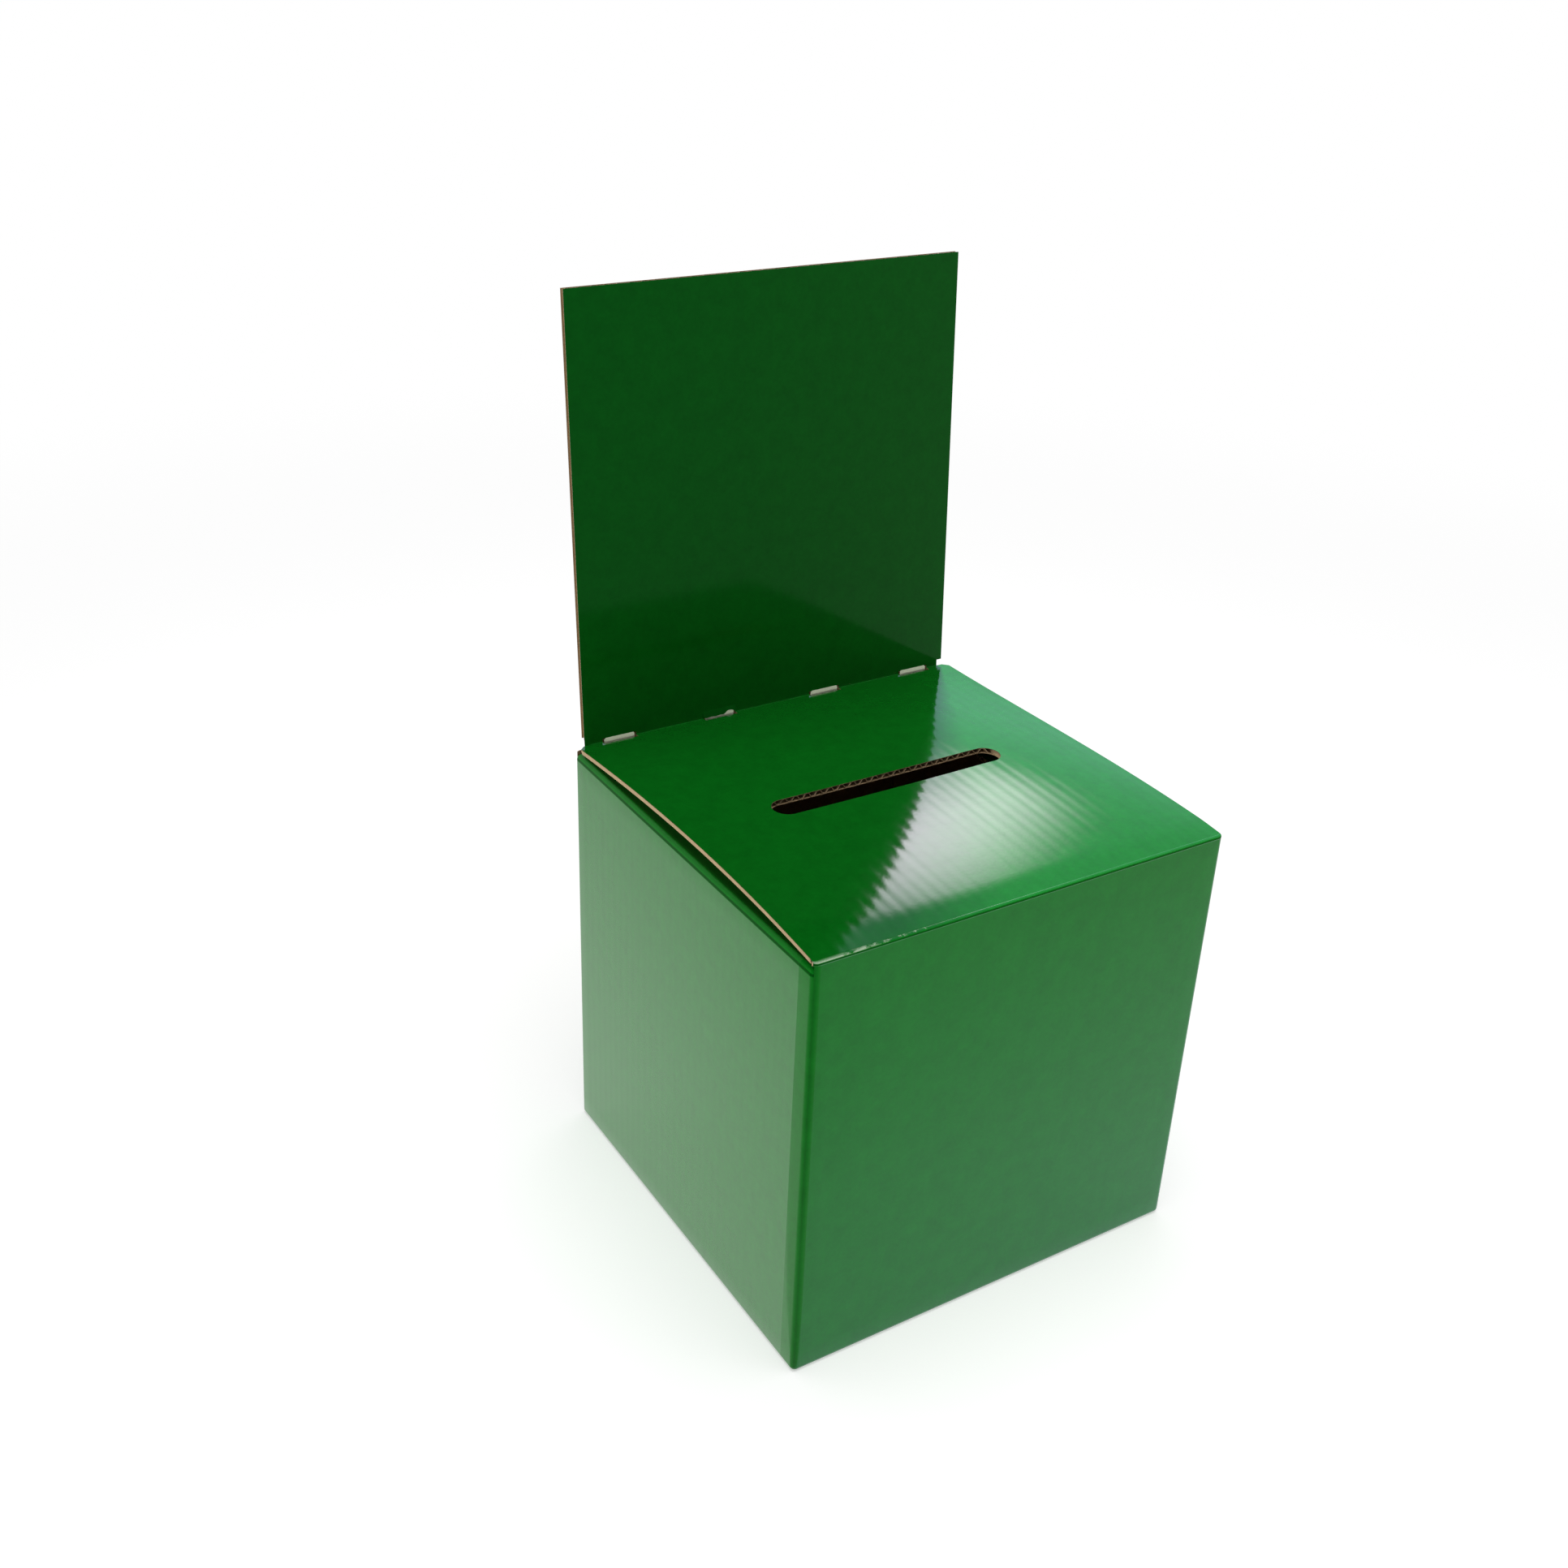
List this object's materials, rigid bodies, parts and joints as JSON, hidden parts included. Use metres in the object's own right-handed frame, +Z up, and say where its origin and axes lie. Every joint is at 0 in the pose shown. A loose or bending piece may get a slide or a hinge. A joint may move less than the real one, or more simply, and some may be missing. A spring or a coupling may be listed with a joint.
{
  "type": "ballot box",
  "caption": "Folding corrugated box with a slotted lid, a creased upright header locked by tabs, dust flaps and a tongue-locked bottom, for collecting paper slips.",
  "frame": {"origin": "centre of the underside, on the surface that the box stands on", "axes": "+Z up, +X to the right seen from the front, front wall and the lid's crease at -Y, header at +Y"},
  "size_m": [0.229, 0.2381, 0.4537],
  "materials": {
    "green_print": "gloss coated green print",
    "fluted_medium": "raw brown fluting paper",
    "kraft_liner": "raw kraft liner"
  },
  "bodies": {
    "box": {"front_wall_print": "green_print", "front_wall_flutes": "fluted_medium", "front_wall_kraft": "kraft_liner", "back_wall_print": "green_print", "back_wall_flutes": "fluted_medium", "back_wall_kraft": "kraft_liner", "left_wall_print": "green_print", "left_wall_flutes": "fluted_medium", "left_wall_kraft": "kraft_liner", "right_wall_print": "green_print", "right_wall_flutes": "fluted_medium", "right_wall_kraft": "kraft_liner", "lock_tabs_print": "green_print", "lock_tabs_flutes": "fluted_medium", "lock_tabs_kraft": "kraft_liner", "glue_tab_print": "green_print", "glue_tab_flutes": "fluted_medium", "glue_tab_kraft": "kraft_liner", "bottom_front_flap_print": "green_print", "bottom_front_flap_flutes": "fluted_medium", "bottom_front_flap_kraft": "kraft_liner", "bottom_left_flap_print": "green_print", "bottom_left_flap_flutes": "fluted_medium", "bottom_left_flap_kraft": "kraft_liner", "bottom_right_flap_print": "green_print", "bottom_right_flap_flutes": "fluted_medium", "bottom_right_flap_kraft": "kraft_liner", "bottom_back_flap_print": "green_print", "bottom_back_flap_flutes": "fluted_medium", "bottom_back_flap_kraft": "kraft_liner", "lock_tongue_print": "green_print", "lock_tongue_flutes": "fluted_medium", "lock_tongue_kraft": "kraft_liner"},
    "lid": {"lid_print": "green_print", "lid_flutes": "fluted_medium", "lid_kraft": "kraft_liner"},
    "header": {"header_print": "green_print", "header_flutes": "fluted_medium", "header_kraft": "kraft_liner"},
    "left_dust_flap": {"left_dust_flap_print": "green_print", "left_dust_flap_flutes": "fluted_medium", "left_dust_flap_kraft": "kraft_liner"},
    "right_dust_flap": {"right_dust_flap_print": "green_print", "right_dust_flap_flutes": "fluted_medium", "right_dust_flap_kraft": "kraft_liner"}
  },
  "joints": [
    {"name": "lid_crease", "type": "hinge", "parent": "box", "child": "lid", "pos_m": [0, -0.112, 0.23], "axis": [1, 0, 0], "range_deg": [0, 180]},
    {"name": "header_crease", "type": "hinge", "parent": "lid", "child": "header", "pos_m": [0, 0.109, 0.23], "axis": [1, 0, 0], "range_deg": [-86, 80]},
    {"name": "left_flap_crease", "type": "hinge", "parent": "box", "child": "left_dust_flap", "pos_m": [-0.1112, 0, 0.2228], "axis": [0, 1, 0], "range_deg": [0, 88]},
    {"name": "right_flap_crease", "type": "hinge", "parent": "box", "child": "right_dust_flap", "pos_m": [0.1112, 0, 0.2228], "axis": [0, -1, 0], "range_deg": [0, 88]}
  ]
}
